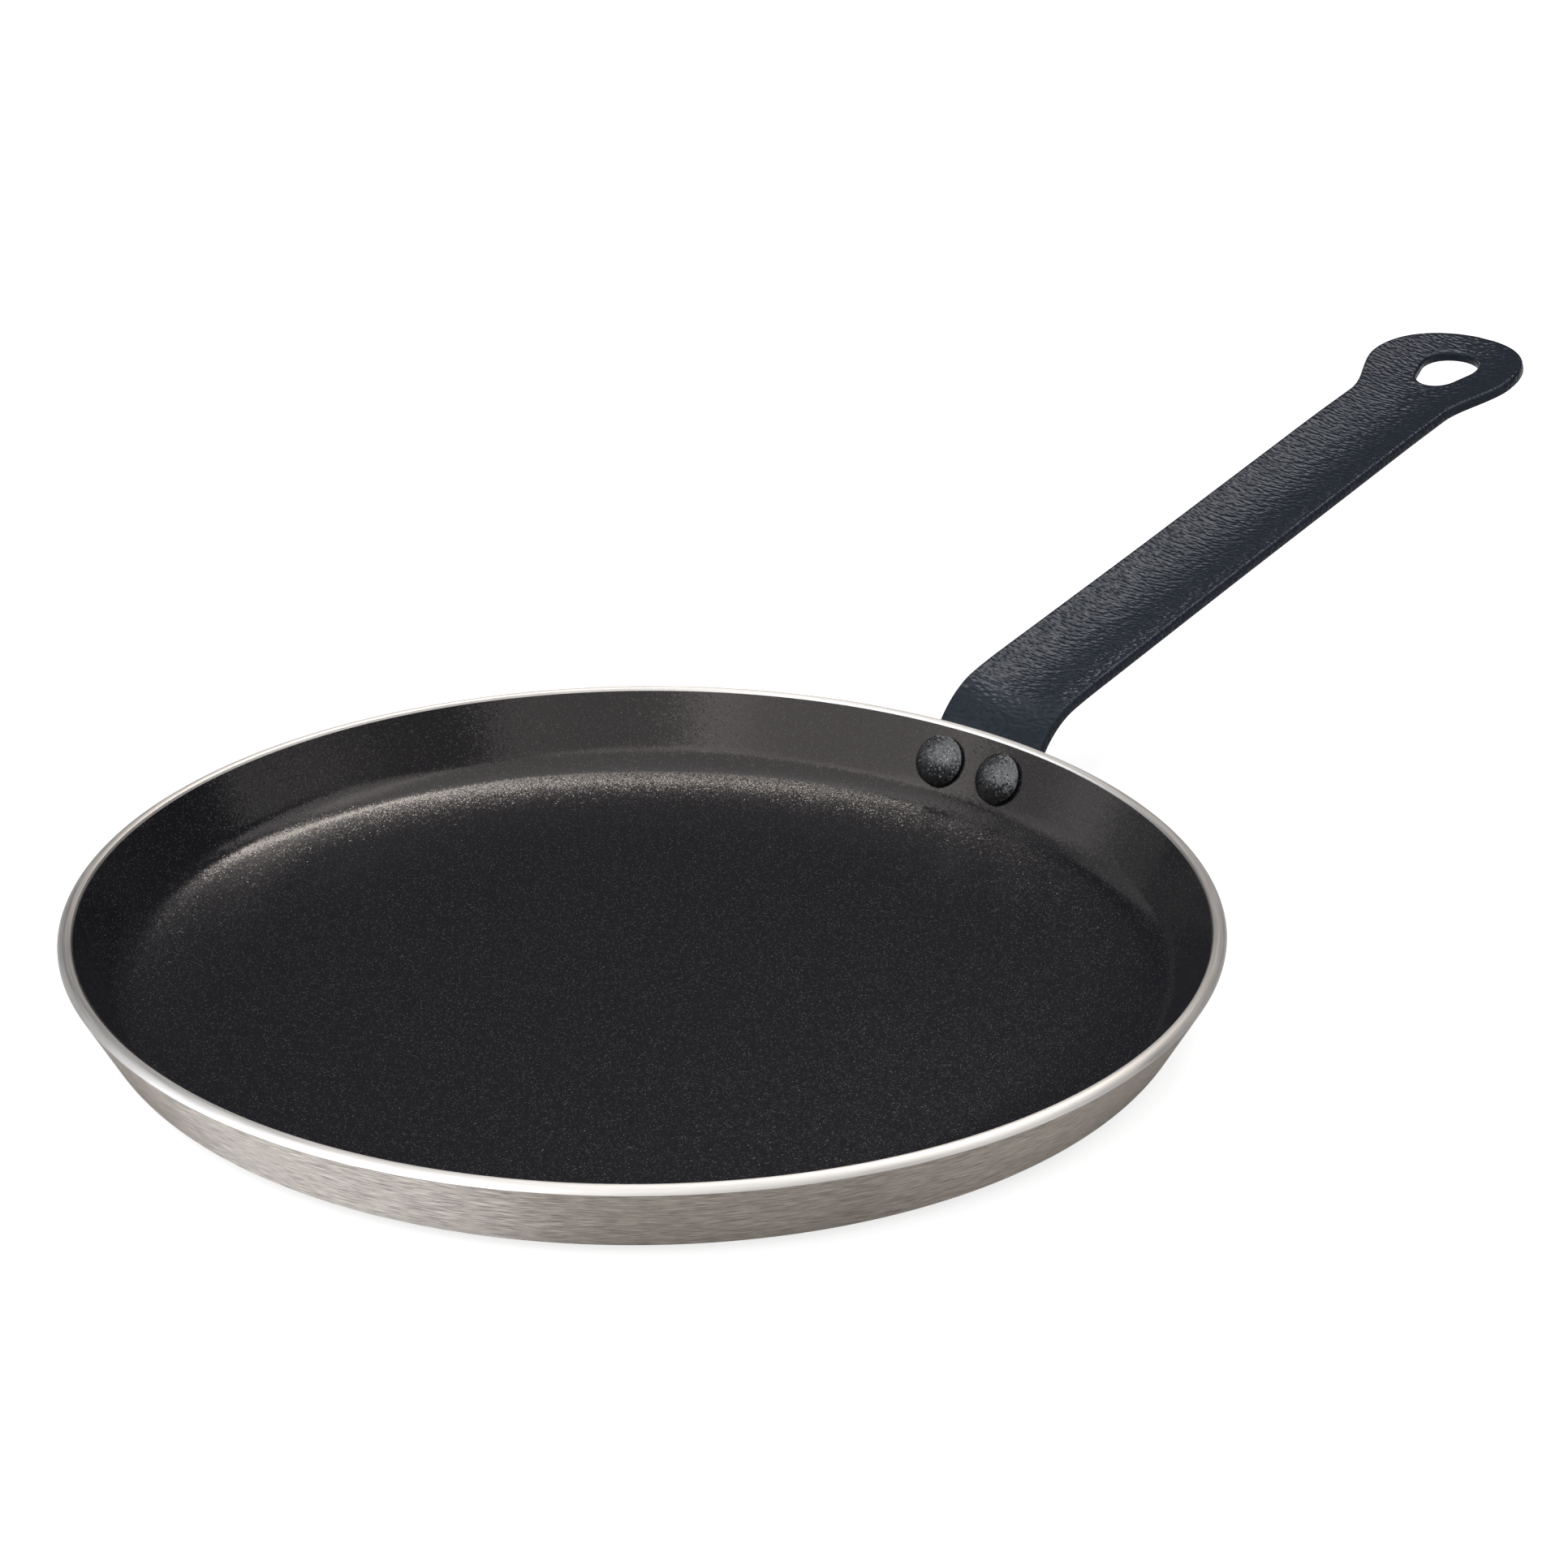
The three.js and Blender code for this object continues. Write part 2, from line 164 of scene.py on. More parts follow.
def cut_away(piece, tool):
    cut = piece.modifiers.new("Cut", "BOOLEAN")
    cut.operation = "DIFFERENCE"
    cut.solver = "EXACT"
    cut.object = tool
    select_only(piece)
    bpy.ops.object.modifier_apply(modifier=cut.name)
    bpy.data.objects.remove(tool)


def drill_rivet_holes(piece):
    for place in rivet_frames:
        bpy.ops.object.select_all(action="DESELECT")
        bpy.ops.mesh.primitive_cylinder_add(
            vertices=32, radius=rivet_hole_radius, depth=drill_length
        )
        drill = bpy.context.object
        drill.matrix_world = place
        cut_away(piece, drill)


drill_rivet_holes(pan)
select_only(pan)
bpy.ops.object.shade_smooth_by_angle(angle=pan_crease)


def new_group(name, inputs, outputs):
    group = bpy.data.node_groups.new(name, "ShaderNodeTree")
    for socket in inputs:
        group.interface.new_socket(socket, in_out="INPUT", socket_type="NodeSocketFloat")
    for socket, kind in outputs:
        group.interface.new_socket(socket, in_out="OUTPUT", socket_type=kind)
    return group


def calculation(nodes, kind, operation):
    node = nodes.new(kind)
    node.operation = operation
    return node


lathe_lines = new_group(
    "Lathe lines", ("Fineness", "Arc", "Roughness"), (("Lines", "NodeSocketFloat"),)
)
nodes, links = lathe_lines.nodes, lathe_lines.links
entry, exit_ = nodes.new("NodeGroupInput"), nodes.new("NodeGroupOutput")
place = nodes.new("ShaderNodeTexCoord")
flat = calculation(nodes, "ShaderNodeVectorMath", "MULTIPLY")
flat.inputs[1].default_value = (1, 1, 0)
radius = calculation(nodes, "ShaderNodeVectorMath", "LENGTH")
heading = calculation(nodes, "ShaderNodeVectorMath", "NORMALIZE")
swept = calculation(nodes, "ShaderNodeVectorMath", "SCALE")
height = nodes.new("ShaderNodeSeparateXYZ")
along = calculation(nodes, "ShaderNodeMath", "ADD")
fine = calculation(nodes, "ShaderNodeMath", "MULTIPLY")
upright = nodes.new("ShaderNodeCombineXYZ")
joined = calculation(nodes, "ShaderNodeVectorMath", "ADD")
streaks = nodes.new("ShaderNodeTexNoise")
streaks.inputs["Scale"].default_value = 1
streaks.inputs["Detail"].default_value = 4
links.new(place.outputs["Object"], flat.inputs[0])
links.new(flat.outputs["Vector"], radius.inputs[0])
links.new(flat.outputs["Vector"], heading.inputs[0])
links.new(heading.outputs["Vector"], swept.inputs[0])
links.new(entry.outputs["Arc"], swept.inputs["Scale"])
links.new(place.outputs["Object"], height.inputs[0])
links.new(radius.outputs["Value"], along.inputs[0])
links.new(height.outputs["Z"], along.inputs[1])
links.new(along.outputs["Value"], fine.inputs[0])
links.new(entry.outputs["Fineness"], fine.inputs[1])
links.new(fine.outputs["Value"], upright.inputs["Z"])
links.new(swept.outputs["Vector"], joined.inputs[0])
links.new(upright.outputs["Vector"], joined.inputs[1])
links.new(joined.outputs["Vector"], streaks.inputs["Vector"])
links.new(entry.outputs["Roughness"], streaks.inputs["Roughness"])
links.new(streaks.outputs["Fac"], exit_.inputs["Lines"])


def new_material(name):
    material = bpy.data.materials.new(name)
    material.use_nodes = True
    tree = material.node_tree
    return material, tree.nodes, tree.links, tree.nodes["Principled BSDF"]


def vary_gloss(nodes, links, shader, source, smooth, rough):
    gloss = nodes.new("ShaderNodeMapRange")
    gloss.inputs["To Min"].default_value = smooth
    gloss.inputs["To Max"].default_value = rough
    links.new(source, gloss.inputs["Value"])
    links.new(gloss.outputs["Result"], shader.inputs["Roughness"])
    return gloss


def emboss(nodes, links, shader, source, strength, depth):
    relief = nodes.new("ShaderNodeBump")
    relief.inputs["Strength"].default_value = strength
    relief.inputs["Distance"].default_value = depth
    links.new(source, relief.inputs["Height"])
    links.new(relief.outputs["Normal"], shader.inputs["Normal"])


def lathed_metal(
    name, colour, contrast, fineness, arc_scale, smooth, rough, relief, anisotropy
):
    metal, nodes, links, shader = new_material(name)
    shader.inputs["Metallic"].default_value = 1
    shader.inputs["Anisotropic"].default_value = anisotropy
    shader.inputs["Anisotropic Rotation"].default_value = 0.25
    tangent = nodes.new("ShaderNodeTangent")
    tangent.direction_type = "RADIAL"
    tangent.axis = "Z"
    links.new(tangent.outputs["Tangent"], shader.inputs["Tangent"])
    lines = nodes.new("ShaderNodeGroup")
    lines.node_tree = lathe_lines
    lines.inputs["Fineness"].default_value = fineness
    lines.inputs["Arc"].default_value = arc_scale
    lines.inputs["Roughness"].default_value = 0.6
    streak = nodes.new("ShaderNodeMapRange")
    streak.inputs["From Min"].default_value = 0.3
    streak.inputs["From Max"].default_value = 0.7
    tone = nodes.new("ShaderNodeMix")
    tone.data_type = "RGBA"
    tone.inputs["A"].default_value = [c * (1 - contrast) for c in colour[:3]] + [1]
    tone.inputs["B"].default_value = [c * (1 + contrast) for c in colour[:3]] + [1]
    links.new(lines.outputs["Lines"], streak.inputs["Value"])
    links.new(streak.outputs["Result"], tone.inputs["Factor"])
    links.new(tone.outputs["Result"], shader.inputs["Base Color"])
    vary_gloss(nodes, links, shader, streak.outputs["Result"], smooth, rough)
    emboss(nodes, links, shader, lines.outputs["Lines"], relief, depth=0.0001)
    return metal


brushed_side = lathed_metal(
    "brushed side", side_colour, contrast=0.5, fineness=2800, arc_scale=26,
    smooth=0.46, rough=0.6, relief=0.25, anisotropy=0.95,
)
turned_rim = lathed_metal(
    "turned rim", rim_colour, contrast=0.08, fineness=4000, arc_scale=6,
    smooth=0.42, rough=0.54, relief=0.12, anisotropy=0.6,
)
turned_base = lathed_metal(
    "turned base", side_colour, contrast=0.12, fineness=1600, arc_scale=2,
    smooth=0.24, rough=0.4, relief=0.3, anisotropy=0.6,
)
finishes = [brushed_side, turned_rim, turned_base]
for finish in finishes:
    pan.data.materials.append(finish)
for face in pan.data.polygons:
    if face.center.z > rim_edge.y:
        face.material_index = finishes.index(turned_rim)
    elif face.normal.z < base_facing:
        face.material_index = finishes.index(turned_base)
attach(pan, "root")
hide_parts("pan_body")


# The lining is a sprayed and baked non-stick film, dark grey with fine bright mineral flakes in
# it. It covers the floor and the inner wall, and ends in a clean line where the turned rim cut
# it off.
film_thickness = 0.0003
film_colour = (0.0082, 0.0078, 0.0100, 1)
film_sheen = (1, 0.93, 0.87, 1)
flake_colour = (0.14, 0.134, 0.132, 1)

film_edge = wall_point(sheet_thickness, lining_top)
film_foot = wall_point(sheet_thickness - film_thickness, 0)
film_lip = film_foot + wall_up * (film_edge - film_foot).dot(wall_up)
film_under = inside_profile(film_thickness, film_lip)
film_over = inside_profile(0, film_edge)
lining = spun("lining", [*film_under, *film_over[::-1]], lathe_steps)
drill_rivet_holes(lining)
select_only(lining)
bpy.ops.object.shade_smooth_by_angle(angle=pan_crease)

flake_field = new_group(
    "Flakes",
    ("Scale", "Share", "Tilt"),
    (("Mask", "NodeSocketFloat"), ("Normal", "NodeSocketVector")),
)
nodes, links = flake_field.nodes, flake_field.links
entry, exit_ = nodes.new("NodeGroupInput"), nodes.new("NodeGroupOutput")
place = nodes.new("ShaderNodeTexCoord")
cells = nodes.new("ShaderNodeTexVoronoi")
chance = nodes.new("ShaderNodeSeparateColor")
rare = nodes.new("ShaderNodeMapRange")
rare.inputs["To Min"].default_value = 1
rare.inputs["To Max"].default_value = 0
small = nodes.new("ShaderNodeMapRange")
small.inputs["From Min"].default_value = 0.5
small.inputs["From Max"].default_value = 0.2
mask = calculation(nodes, "ShaderNodeMath", "MULTIPLY")
lean = calculation(nodes, "ShaderNodeVectorMath", "SUBTRACT")
lean.inputs[1].default_value = (0.5, 0.5, 0.5)
most = calculation(nodes, "ShaderNodeVectorMath", "DOT_PRODUCT")
steep = calculation(nodes, "ShaderNodeMath", "MULTIPLY")
tipped = calculation(nodes, "ShaderNodeVectorMath", "SCALE")
surface = nodes.new("ShaderNodeNewGeometry")
facing = calculation(nodes, "ShaderNodeVectorMath", "ADD")
sparkle = calculation(nodes, "ShaderNodeVectorMath", "NORMALIZE")
links.new(place.outputs["Object"], cells.inputs["Vector"])
links.new(entry.outputs["Scale"], cells.inputs["Scale"])
links.new(cells.outputs["Color"], chance.inputs["Color"])
links.new(chance.outputs["Red"], rare.inputs["Value"])
links.new(entry.outputs["Share"], rare.inputs["From Max"])
links.new(cells.outputs["Distance"], small.inputs["Value"])
links.new(rare.outputs["Result"], mask.inputs[0])
links.new(small.outputs["Result"], mask.inputs[1])
links.new(mask.outputs["Value"], exit_.inputs["Mask"])
links.new(cells.outputs["Color"], lean.inputs[0])
links.new(lean.outputs["Vector"], most.inputs[0])
links.new(lean.outputs["Vector"], most.inputs[1])
links.new(most.outputs["Value"], steep.inputs[0])
links.new(entry.outputs["Tilt"], steep.inputs[1])
links.new(lean.outputs["Vector"], tipped.inputs[0])
links.new(steep.outputs["Value"], tipped.inputs["Scale"])
links.new(surface.outputs["Normal"], facing.inputs[0])
links.new(tipped.outputs["Vector"], facing.inputs[1])
links.new(facing.outputs["Vector"], sparkle.inputs[0])
links.new(sparkle.outputs["Vector"], exit_.inputs["Normal"])


def flaked_coat(name, colour, glint, scale, share, tilt):
    material, nodes, links, shader = new_material(name)
    flakes = nodes.new("ShaderNodeGroup")
    flakes.node_tree = flake_field
    flakes.inputs["Scale"].default_value = scale
    flakes.inputs["Share"].default_value = share
    flakes.inputs["Tilt"].default_value = tilt
    tone = nodes.new("ShaderNodeMix")
    tone.data_type = "RGBA"
    tone.inputs["A"].default_value = colour
    tone.inputs["B"].default_value = glint
    links.new(flakes.outputs["Mask"], tone.inputs["Factor"])
    links.new(tone.outputs["Result"], shader.inputs["Base Color"])
    links.new(flakes.outputs["Normal"], shader.inputs["Normal"])
    return material, nodes, links, shader


film, nodes, links, shader = flaked_coat(
    "speckled non-stick film", film_colour, flake_colour, scale=3600, share=0.25, tilt=0.26
)
shader.inputs["Specular Tint"].default_value = film_sheen
place = nodes.new("ShaderNodeTexCoord")
grain = nodes.new("ShaderNodeTexNoise")
grain.inputs["Scale"].default_value = 700
grain.inputs["Detail"].default_value = 3
links.new(place.outputs["Object"], grain.inputs["Vector"])
vary_gloss(nodes, links, shader, grain.outputs["Fac"], smooth=0.15, rough=0.21)
lining.data.materials.append(film)
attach(lining, "root")
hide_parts("nonstick_lining")


# The handle is one strip of steel, blanked to its outline, pressed hollow along its length and
# bent up from the plate that lies on the pan's wall. It is coated with black powder that bakes to
# a leather grain.
strip_thickness = 0.0027
strip_edge = 0.0008
plate_width = 0.0296
plate_corner = 0.006
plate_foot_height = 0.0046
plate_gap = 0.0002
bend_radius = 0.021
grip_width = 0.0285
grip_waist = 0.085
grip_dish = 0.00185
grip_dish_fade = 0.009
grip_rise = math.radians(8.66)
grip_start_height = 0.02455
neck_x = 0.3034
eye_rise = math.radians(7.8)
eye_bend_radius = 0.3
eye_dish = 0.00119
eye_width = 0.04038
eye_flare = 0.0206
eye_nose = 0.0219
eye_nose_sweep = math.radians(84)
hole_radius = 0.00725
hole_neck_radius = 0.00565
hole_spread = 0.00545
hole_offset = 0.0245
punch_stretch = 3
hollow_most = 0.004
bend_steps = 24
dish_steps = 4
flare_steps = 24
nose_steps = 8
eye_steps = 32
columns = 20
blank_edge = math.radians(80)
handle_crease = math.radians(40)
coat_colour = (0.0135, 0.0163, 0.0240, 1)
coat_sheen = (0.77, 0.88, 1, 1)

crossing = wall_point(-plate_gap, grip_start_height)
bend_turn = math.pi / 2 - wall_lean - grip_rise
bend_reach = bend_radius * math.tan(bend_turn / 2)
plate_foot = wall_point(-plate_gap, plate_foot_height)
plate_length = (crossing - plate_foot).length - bend_reach
grip_start = plate_length + bend_radius * bend_turn
neck = grip_start + (neck_x - crossing.x) / math.cos(grip_rise) - bend_reach
eye_widest = neck + eye_flare
eye_turn = grip_rise - eye_rise
eye_bend_end = neck + eye_bend_radius * eye_turn
plate_dish = (grip_width / 2) ** 2 / (2 * wall_point(0, rivet_height).x) * wall_up.y


def ease(value, start, end):
    share = min(max((value - start) / (end - start), 0), 1)
    return share * share * (3 - 2 * share)


def strip_half_width(along):
    to_grip = ease(along, plate_length, grip_start + grip_waist)
    width = plate_width + (grip_width - plate_width) * to_grip
    return (width + (eye_width - width) * ease(along, neck, eye_widest)) / 2


def strip_dish(along):
    to_grip = ease(along, plate_length, grip_start + grip_dish_fade)
    depth = plate_dish + (grip_dish - plate_dish) * to_grip
    return depth + (eye_dish - depth) * ease(along, neck - eye_flare, eye_widest)


def stamped(name, outline):
    piece = drawn(name, [point.to_3d() for point in outline])
    bpy.ops.mesh.edge_face_add()
    bpy.ops.mesh.extrude_region_move(
        TRANSFORM_OT_translate={"value": (0, 0, -strip_thickness)}
    )
    bpy.ops.mesh.select_all(action="SELECT")
    bpy.ops.mesh.normals_make_consistent(inside=False)
    return piece


corner_middle = Vector((plate_corner, plate_width / 2 - plate_corner))
half_outline = arc(corner_middle, plate_corner, math.pi, math.pi / 2, steps=10)
for start, end, count in (
    (plate_length, grip_start, 4),
    (grip_start, grip_start + grip_waist, 12),
    (neck, eye_widest, 20),
):
    for i in range(count):
        along = start + (end - start) * i / count
        half_outline.append(Vector((along, strip_half_width(along))))
for i in range(eye_steps + 1):
    sweep = eye_nose_sweep * i / eye_steps
    along = eye_widest + eye_nose * math.sin(sweep)
    half_outline.append(Vector((along, eye_width / 2 * math.cos(sweep))))
other_half = [Vector((point.x, -point.y)) for point in reversed(half_outline)]
handle = stamped("strip_handle", half_outline + other_half)
bpy.ops.object.mode_set(mode="OBJECT")

hole_middle = Vector((neck + hole_offset, 0))
hole_turn = math.pi - math.acos((hole_radius - hole_neck_radius) / hole_spread)
hole_neck = hole_middle - Vector((hole_spread, 0))
punch = stamped(
    "punch",
    arc(hole_middle, hole_radius, -hole_turn, hole_turn, steps=36)
    + arc(hole_neck, hole_neck_radius, hole_turn, 2 * math.pi - hole_turn, steps=24),
)
bpy.ops.transform.resize(
    value=(1, 1, punch_stretch), center_override=(0, 0, -strip_thickness / 2)
)
bpy.ops.object.mode_set(mode="OBJECT")
cut_away(handle, punch)

select_only(handle)
bpy.ops.object.mode_set(mode="EDIT")
bpy.ops.mesh.select_mode(type="EDGE")
bpy.ops.mesh.select_all(action="DESELECT")
blank = bmesh.from_edit_mesh(handle.data)
for edge in blank.edges:
    level = abs(edge.verts[0].co.z - edge.verts[1].co.z) < tolerance
    if level and edge.calc_face_angle(0) > blank_edge:
        edge.select = True
blank.select_flush_mode()
bmesh.update_edit_mesh(handle.data)
bpy.ops.mesh.bevel(offset=strip_edge, segments=4, affect="EDGES", clamp_overlap=False)

bend_length = grip_start - plate_length
bend_rows = [plate_length + bend_length * i / bend_steps for i in range(bend_steps + 1)]
dish_rows = [grip_start + grip_dish_fade * i / dish_steps for i in range(1, dish_steps + 1)]
flare_start, flare_length = neck - eye_flare, 2 * eye_flare
flare_rows = [flare_start + flare_length * i / flare_steps for i in range(flare_steps + 1)]
nose_rows = [eye_widest + eye_nose * i / nose_steps for i in range(1, nose_steps)]
bpy.ops.mesh.select_mode(type="VERT")
for row in [*bend_rows, *dish_rows, *flare_rows, *nose_rows]:
    bpy.ops.mesh.select_all(action="SELECT")
    bpy.ops.mesh.bisect(plane_co=(row, 0, 0), plane_no=(1, 0, 0))
for column in range(1 - columns // 2, columns // 2):
    bpy.ops.mesh.select_all(action="SELECT")
    bpy.ops.mesh.bisect(plane_co=(0, column * eye_width / columns, 0), plane_no=(0, 1, 0))
bpy.ops.object.mode_set(mode="OBJECT")

flat_along = [v.co.x for v in handle.data.vertices]
hollow, left, right = (
    handle.vertex_groups.new(name=name) for name in ("hollow", "left", "right")
)
for v in handle.data.vertices:
    fullness = strip_dish(v.co.x) / (grip_width / 2) ** 2
    tilt = math.atan(2 * fullness * abs(v.co.y))
    lift = fullness * v.co.y**2 - v.co.z * (1 - math.cos(tilt))
    hollow.add([v.index], lift / hollow_most, "REPLACE")
    splay = left if v.co.y > 0 else right
    splay.add([v.index], -v.co.z * math.sin(tilt) / strip_thickness, "REPLACE")
for group, direction, strength in (
    ("hollow", "Z", hollow_most),
    ("left", "Y", strip_thickness),
    ("right", "Y", -strip_thickness),
):
    press = handle.modifiers.new("Press", "DISPLACE")
    press.vertex_group = group
    press.direction = direction
    press.mid_level = 0
    press.strength = strength
    bpy.ops.object.modifier_apply(modifier=press.name)
handle.vertex_groups.clear()


def pick(piece, wanted):
    mesh = bmesh.from_edit_mesh(piece.data)
    for vertex in mesh.verts:
        vertex.select = wanted(vertex)
    mesh.select_flush_mode()
    bmesh.update_edit_mesh(piece.data)


bpy.ops.object.mode_set(mode="EDIT")
eye_bend_last = eye_bend_end + flare_length / flare_steps
eye_bend_rows = [row for row in flare_rows if neck - tolerance < row < eye_bend_last]
for rows, turn in ((eye_bend_rows, eye_turn), (bend_rows, bend_turn)):
    for row in reversed(rows):
        share = 0.5 if row in (rows[0], rows[-1]) else 1
        pick(handle, lambda v: flat_along[v.index] > row - tolerance)
        bpy.ops.transform.rotate(
            value=-share * turn / (len(rows) - 1),
            orient_axis="Y",
            center_override=(row, 0, 0),
        )
bpy.ops.object.mode_set(mode="OBJECT")
handle.rotation_euler.y = wall_lean - math.pi / 2
handle.location = (plate_foot.x, 0, plate_foot.y)
bpy.ops.object.transform_apply(location=True, rotation=True, scale=True)
drill_rivet_holes(handle)
select_only(handle)
bpy.ops.object.shade_smooth_by_angle(angle=handle_crease)

leather_grain = new_group("Leather grain", ("Scale",), (("Relief", "NodeSocketFloat"),))
nodes, links = leather_grain.nodes, leather_grain.links
entry, exit_ = nodes.new("NodeGroupInput"), nodes.new("NodeGroupOutput")
place = nodes.new("ShaderNodeTexCoord")
warp = nodes.new("ShaderNodeTexNoise")
warp.inputs["Scale"].default_value = 500
warp.inputs["Detail"].default_value = 2
creased = calculation(nodes, "ShaderNodeVectorMath", "MULTIPLY")
creased.inputs[1].default_value = (1.3, 0.6, 1.3)
shift = calculation(nodes, "ShaderNodeVectorMath", "MULTIPLY_ADD")
shift.inputs[1].default_value = (0.0008, 0.0008, 0.0008)
pebbles = nodes.new("ShaderNodeTexVoronoi")
pebbles.feature = "SMOOTH_F1"
pebbles.inputs["Smoothness"].default_value = 0.4
fine = nodes.new("ShaderNodeTexNoise")
fine.inputs["Detail"].default_value = 3
mixed = calculation(nodes, "ShaderNodeMath", "MULTIPLY_ADD")
mixed.inputs[1].default_value = 0.35
links.new(place.outputs["Object"], warp.inputs["Vector"])
links.new(warp.outputs["Color"], shift.inputs[0])
links.new(place.outputs["Object"], creased.inputs[0])
links.new(creased.outputs["Vector"], shift.inputs[2])
links.new(shift.outputs["Vector"], pebbles.inputs["Vector"])
links.new(shift.outputs["Vector"], fine.inputs["Vector"])
links.new(entry.outputs["Scale"], pebbles.inputs["Scale"])
links.new(entry.outputs["Scale"], fine.inputs["Scale"])
links.new(fine.outputs["Fac"], mixed.inputs[0])
links.new(pebbles.outputs["Distance"], mixed.inputs[2])
links.new(mixed.outputs["Value"], exit_.inputs["Relief"])

coat, nodes, links, shader = new_material("black leather-grain powder coat")
shader.inputs["Base Color"].default_value = coat_colour
shader.inputs["Specular IOR Level"].default_value = 0.18
shader.inputs["Specular Tint"].default_value = coat_sheen
grain = nodes.new("ShaderNodeGroup")
grain.node_tree = leather_grain
grain.inputs["Scale"].default_value = 820
gloss = vary_gloss(nodes, links, shader, grain.outputs["Relief"], smooth=0.18, rough=0.28)
gloss.inputs["From Max"].default_value = 1.2
emboss(nodes, links, shader, grain.outputs["Relief"], strength=0.5, depth=0.0004)
handle.data.materials.append(coat)
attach(handle, "root")
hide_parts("handle")


# Two aluminium rivets hold the handle. Their low domed heads inside the pan carry a dark coat
# with bright flakes in it, and their bare tails are upset over the handle's plate on the outside.
shank_radius = 0.003
head_radius, head_height, head_edge = 0.0061, 0.003, 0.0008
tail_radius, tail_height, tail_edge = 0.0048, 0.002, 0.0007
dome_foot = 0.00035
seat_gap = 0.00025
rivet_steps = 48
rivet_crease = math.radians(35)
head_colour = (0.105, 0.107, 0.111, 1)
head_glint = (0.36, 0.36, 0.37, 1)


def domed(radius, height, edge, seat, way):
    cap = height - edge
    sphere = (radius**2 + cap**2) / (2 * cap)
    spread = math.asin(radius / sphere)
    middle = Vector((0, seat + way * (height - sphere)))
    dome = arc(middle, sphere, way * (math.pi / 2 - spread), way * math.pi / 2, steps=12)
    dome[-1].x = 0
    bottom = Vector((radius, seat))
    return [bottom - Vector((dome_foot, 0)), bottom + Vector((0, way * dome_foot)), *dome]


tail_seat = -(sheet_thickness + plate_gap + strip_thickness + seat_gap)
rivet_profile = [
    *domed(tail_radius, tail_height, tail_edge, tail_seat, way=-1)[::-1],
    Vector((shank_radius, tail_seat)),
    Vector((shank_radius, seat_gap)),
    *domed(head_radius, head_height, head_edge, seat_gap, way=1),
]
rivet_left = spun("rivet_head_left", rivet_profile, rivet_steps)
bpy.ops.object.shade_smooth_by_angle(angle=rivet_crease)

head_coat, nodes, links, shader = flaked_coat(
    "dark rivet coat", head_colour, head_glint, scale=2800, share=0.4, tilt=1.3
)
shader.inputs["Metallic"].default_value = 1
shader.inputs["Roughness"].default_value = 0.33

bare_metal, nodes, links, shader = new_material("bare rivet tail")
shader.inputs["Base Color"].default_value = side_colour
shader.inputs["Metallic"].default_value = 1
place = nodes.new("ShaderNodeTexCoord")
dents = nodes.new("ShaderNodeTexNoise")
dents.inputs["Scale"].default_value = 900
links.new(place.outputs["Object"], dents.inputs["Vector"])
vary_gloss(nodes, links, shader, dents.outputs["Fac"], smooth=0.25, rough=0.5)
emboss(nodes, links, shader, dents.outputs["Fac"], strength=0.2, depth=0.0001)

rivet_left.data.materials.append(head_coat)
rivet_left.data.materials.append(bare_metal)
for face in rivet_left.data.polygons:
    face.material_index = 0 if face.center.z > seat_gap / 2 else 1
select_only(rivet_left)
bpy.ops.object.duplicate()
rivet_right = bpy.context.object
rivet_right.name = rivet_right.data.name = "rivet_head_right"
for rivet, place, node in (
    (rivet_left, rivet_frames[0], "rivet_left"),
    (rivet_right, rivet_frames[1], "rivet_right"),
):
    select_only(rivet)
    rivet.matrix_world = place
    bpy.ops.object.transform_apply(location=True, rotation=True, scale=True)
    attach(rivet, "root")
    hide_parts(node)


# The pan stands on a plain white sweep, which shows white to the eye, faintly in the metal, and
# keeps the soft shadow under the pan. Softboxes stand round it. Six of them are flagged so that
# they light one piece only. The camera stands where the photograph's stood.
floor_size = 16
floor_drop = 0.0002
floor_colour = (0.55, 0.55, 0.55, 1)
glow_colour = (1, 1, 1, 1)
glow_seen = 0.76
glow_mirrored = 0.08
room_colour = (0.90, 0.97, 1.12, 1)
room_strength = 0.05

bpy.ops.object.select_all(action="DESELECT")
bpy.ops.mesh.primitive_plane_add(size=floor_size, location=(0, 0, -floor_drop))
floor = bpy.context.object
floor.name = "floor"
white, nodes, links, shader = new_material("white sweep")
shader.inputs["Base Color"].default_value = floor_colour
shader.inputs["Roughness"].default_value = 1
shader.inputs["Specular IOR Level"].default_value = 0
shader.inputs["Emission Color"].default_value = glow_colour
ray = nodes.new("ShaderNodeLightPath")
mirrored = calculation(nodes, "ShaderNodeMath", "MAXIMUM")
shown = calculation(nodes, "ShaderNodeMath", "MULTIPLY")
shown.inputs[1].default_value = glow_mirrored
seen = calculation(nodes, "ShaderNodeMath", "MULTIPLY_ADD")
seen.inputs[1].default_value = glow_seen
links.new(ray.outputs["Is Glossy Ray"], mirrored.inputs[0])
links.new(ray.outputs["Is Transmission Ray"], mirrored.inputs[1])
links.new(mirrored.outputs["Value"], shown.inputs[0])
links.new(ray.outputs["Is Camera Ray"], seen.inputs[0])
links.new(shown.outputs["Value"], seen.inputs[2])
links.new(seen.outputs["Value"], shader.inputs["Emission Strength"])
floor.data.materials.append(white)

world = bpy.data.worlds.new("studio")
bpy.context.scene.world = world
world.use_nodes = True
room = world.node_tree.nodes["Background"]
room.inputs["Color"].default_value = room_colour
room.inputs["Strength"].default_value = room_strength

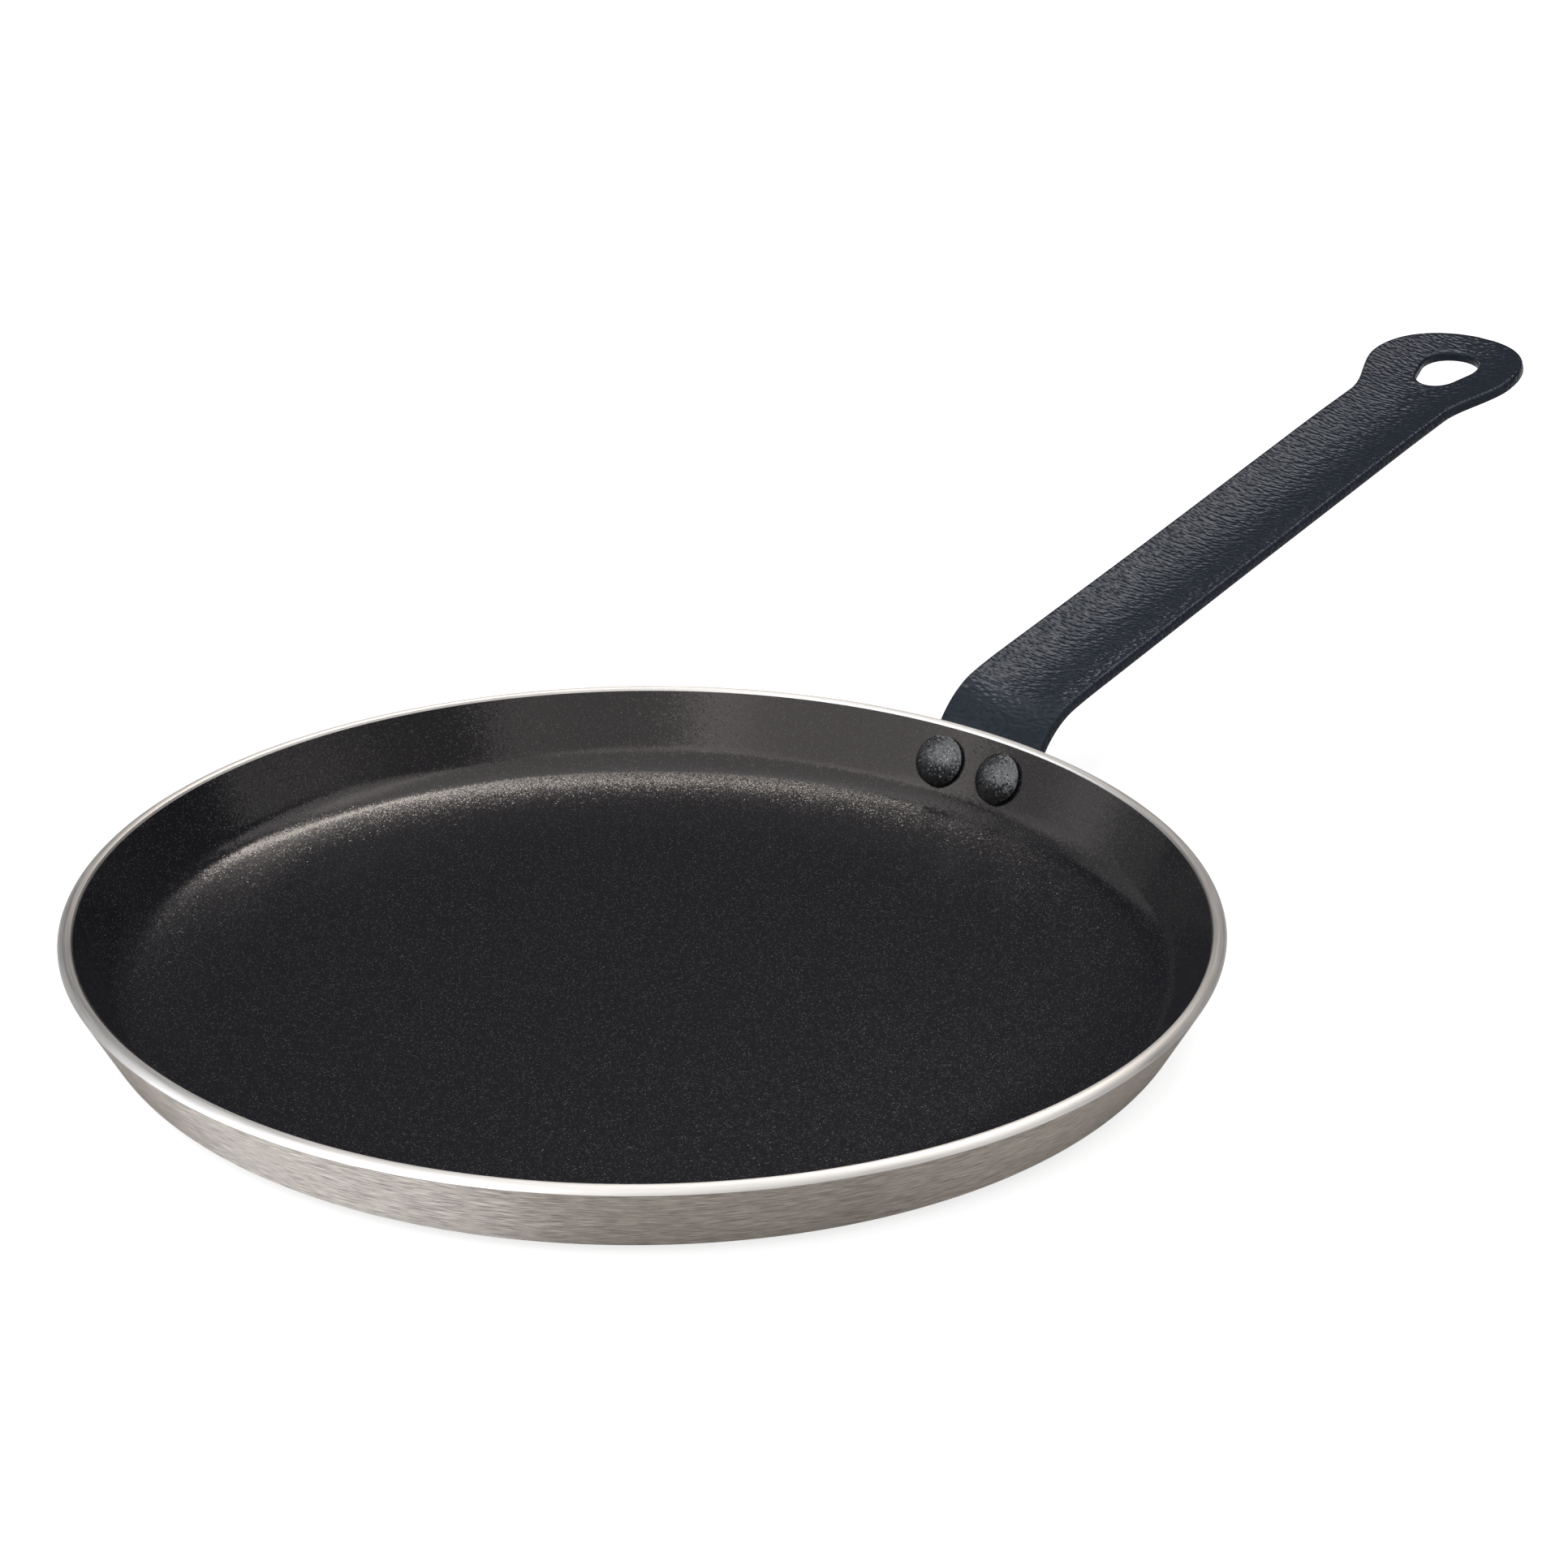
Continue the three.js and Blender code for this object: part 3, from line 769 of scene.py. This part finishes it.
for name, azimuth, elevation, distance, width, height, radiance in (
    ("back softbox", 20.5, 48.4, 2.2, 1.2, 0.26, 11.5),
    ("back fill", 20, 39, 2.2, 1.0, 0.4, 0.4),
    ("rear strip", 60, 9, 2.0, 1.4, 0.36, 3.2),
    ("handle softbox", 66, 48, 2.0, 1.3, 0.7, 1.1),
    ("key softbox", 170, 40, 1.8, 2.0, 1.3, 1.5),
    ("left softbox", 124, 30, 1.8, 1.3, 1.2, 0.7),
    ("left fill", 97, 28, 1.8, 1.3, 1.0, 0.42),
    ("left high", 76, 54, 2.0, 1.3, 0.5, 0.4),
    ("left low", 112, 8, 1.8, 1.7, 0.36, 0.27),
    ("low key", 159.5, 12, 1.8, 2.6, 0.75, 4.5),
    ("front softbox", -134, 38, 1.8, 1.6, 1.5, 0.85),
    ("overhead softbox", -180, 89, 1.8, 2.4, 2.4, 1.15),
    ("right fill", -88, 34, 1.8, 1.7, 1.2, 0.2),
    ("right high", -45, 50, 1.8, 1.3, 0.9, 1.2),
    ("right softbox", -70, 15, 1.8, 1.8, 0.8, 0.7),
):
    lamp = bpy.data.lights.new(name, "AREA")
    lamp.shape = "RECTANGLE"
    lamp.size, lamp.size_y = width, height
    lamp.energy = radiance * math.pi * width * height
    box = bpy.data.objects.new(name, lamp)
    bpy.context.scene.collection.objects.link(box)
    a, e = math.radians(azimuth), math.radians(elevation)
    aim = Vector((math.cos(a) * math.cos(e), math.sin(a) * math.cos(e), math.sin(e)))
    box.location = aim * distance
    box.rotation_euler = aim.to_track_quat("Z", "Y").to_euler()
bpy.data.lights["low key"].color = (0.91, 1, 1.1)
bpy.data.lights["back softbox"].color = (1, 0.95, 0.9)
for name, piece in (
    ("low key", pan),
    ("rear strip", handle),
    ("handle softbox", handle),
    ("back fill", lining),
    ("left high", lining),
    ("left low", lining),
):
    flagged = bpy.data.collections.new("lit by the " + name)
    flagged.objects.link(piece)
    bpy.data.objects[name].light_linking.receiver_collection = flagged

view = bpy.data.cameras.new("camera")
view.lens, view.sensor_width = 149.068, 36
view.clip_end = 50
camera = bpy.data.objects.new("camera", view)
camera.location = (-1.00745, -0.83107, 0.64518)
camera.rotation_euler = [math.radians(a) for a in (65.594, -0.013, -51.853)]
bpy.context.scene.collection.objects.link(camera)
bpy.context.scene.camera = camera
bpy.context.scene.view_settings.view_transform = "Standard"
